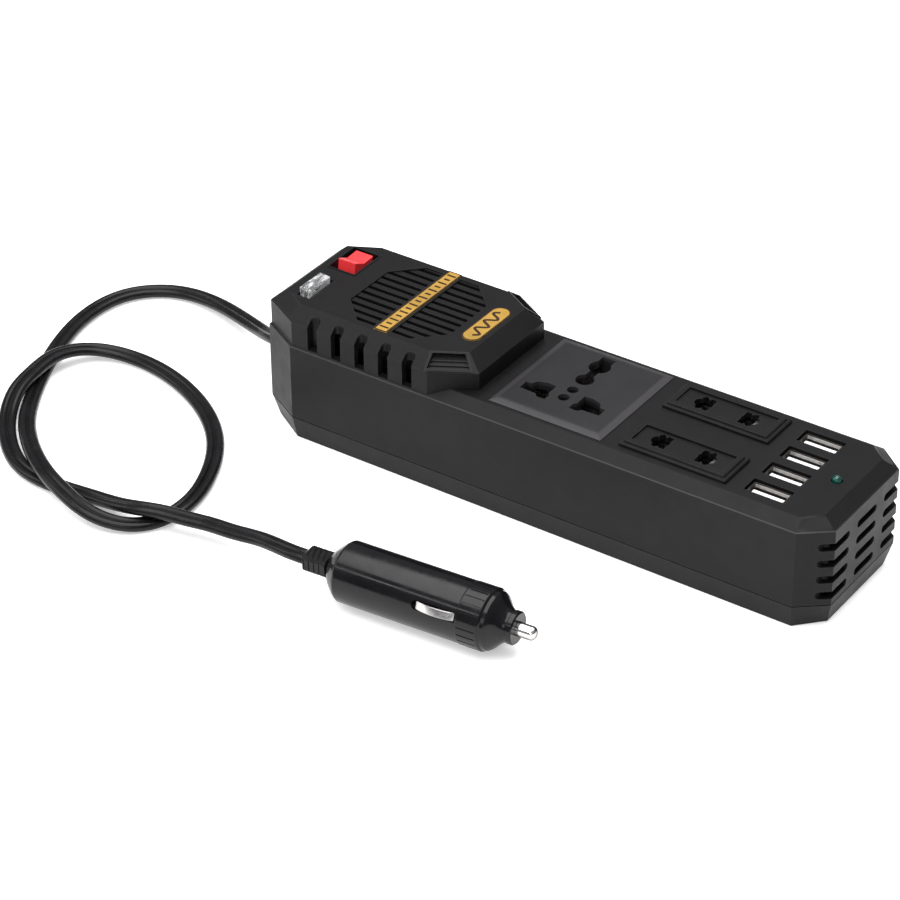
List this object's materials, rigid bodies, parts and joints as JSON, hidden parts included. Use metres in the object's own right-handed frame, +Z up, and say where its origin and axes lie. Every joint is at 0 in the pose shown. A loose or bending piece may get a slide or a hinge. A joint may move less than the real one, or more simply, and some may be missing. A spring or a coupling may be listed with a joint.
{
  "type": "power inverter",
  "caption": "Long eight-sided in-vehicle power inverter with a fan cowl, mains outlets, USB ports, a rocker switch, a blade fuse and a corded 12 V plug.",
  "frame": {"origin": "centre of the case's flat bottom face", "axes": "+Z up; +X along the case towards the vented end, -X towards the fan cowl and the cable; the loose plug lies on the -Y side"},
  "size_m": [0.3111, 0.1367, 0.0524],
  "materials": {
    "case_plastic": "fine spark-eroded texture",
    "socket_plastic": "satin",
    "accent_yellow": "printed satin film",
    "rocker_red": "gloss",
    "switch_plastic": "satin",
    "fuse_clear": "clear moulded plastic",
    "contact_metal": "bright tin plate",
    "usb_steel": "bright nickel plate",
    "usb_white": "satin",
    "contact_gold": "bright",
    "led_green": "clear tinted lens",
    "fan_plastic": "satin",
    "coil_copper": "enamelled",
    "board_green": "solder mask",
    "ferrite": "sintered",
    "winding_tape": "polyester tape",
    "aluminium_sink": "extruded",
    "component_black": "moulded epoxy",
    "capacitor_sleeve": "shrink sleeve",
    "screw_steel": "zinc plated",
    "cord_pvc": "satin vinyl",
    "lead_red": "satin vinyl",
    "plug_plastic": "semi-gloss",
    "plug_nickel": "bright nickel plate",
    "fuse_glass": "clear",
    "print_ink": "dark printed marks, slightly raised"
  },
  "bodies": {
    "case": {"lower_shell": "case_plastic", "upper_shell": "case_plastic", "accent_strip": "accent_yellow", "rating_badge": "accent_yellow", "fan_frame": "fan_plastic", "fan_motor": "coil_copper", "fan_screws": "screw_steel", "switch_housing": "switch_plastic", "switch_terminals": "contact_metal", "fuse_holder": "switch_plastic", "fuse_clips": "contact_metal", "universal_socket": "socket_plastic", "universal_contacts": "contact_metal", "universal_back_cover": "socket_plastic", "two_pin_outlet_near": "case_plastic", "two_pin_outlet_far": "case_plastic", "outlet_contacts": "contact_metal", "outlet_back_covers": "socket_plastic", "usb_shell_1": "usb_steel", "usb_shell_2": "usb_steel", "usb_shell_3": "usb_steel", "usb_shell_4": "usb_steel", "usb_tongue_1": "usb_white", "usb_tongue_2": "usb_white", "usb_tongue_3": "usb_white", "usb_tongue_4": "usb_white", "usb_contacts": "contact_gold", "usb_board": "board_green", "status_led": "led_green", "led_leads": "contact_metal", "main_board": "board_green", "transformer_core": "ferrite", "transformer_winding": "winding_tape", "transformer_pins": "contact_metal", "heat_sink": "aluminium_sink", "power_transistors": "component_black", "capacitors": "capacitor_sleeve", "choke_core": "ferrite", "choke_winding": "coil_copper", "control_chip": "component_black", "chip_pins": "contact_metal", "case_screws": "screw_steel", "board_screws": "screw_steel", "power_cable": "cord_pvc", "cable_grommet": "cord_pvc", "supply_leads": "lead_red", "plug_boot": "cord_pvc", "plug_barrel": "plug_plastic", "tip_spring": "screw_steel", "tube_fuse_glass": "fuse_glass", "tube_fuse_caps": "plug_nickel", "plug_inner_contact": "contact_gold"},
    "fan": {"fan_rotor": "fan_plastic"},
    "rocker": {"switch_rocker": "rocker_red"},
    "blade_fuse": {"fuse_body": "fuse_clear", "fuse_element": "contact_metal"},
    "cap": {"plug_cap": "plug_plastic"},
    "tip": {"plug_tip": "plug_nickel"},
    "contact_near": {"side_contact_near": "plug_nickel"},
    "contact_far": {"side_contact_far": "plug_nickel"}
  },
  "joints": [
    {"name": "fan_spin", "type": "hinge", "parent": "case", "child": "fan", "pos_m": [-0.061, 0, 0.0427], "axis": [0, 0, 1], "continuous": true},
    {"name": "rocker_tilt", "type": "hinge", "parent": "case", "child": "rocker", "pos_m": [-0.0942, 0.0099, 0.046], "axis": [1, 0, 0], "range_deg": [0, 22]},
    {"name": "fuse_pull", "type": "slide", "parent": "case", "child": "blade_fuse", "axis": [0, 0, 1], "range_m": [0, 0.014]},
    {"name": "cap_off", "type": "slide", "parent": "case", "child": "cap", "axis": [0.9969, 0.0785, 0], "range_m": [0, 0.012]},
    {"name": "tip_press", "type": "slide", "parent": "cap", "child": "tip", "axis": [-0.9969, -0.0785, 0], "range_m": [0, 0.003]},
    {"name": "contact_near_press", "type": "slide", "parent": "case", "child": "contact_near", "axis": [-0.0727, 0.9243, -0.3746], "range_m": [0, 0.001]},
    {"name": "contact_far_press", "type": "slide", "parent": "case", "child": "contact_far", "axis": [0.0727, -0.9243, 0.3746], "range_m": [0, 0.001]}
  ]
}
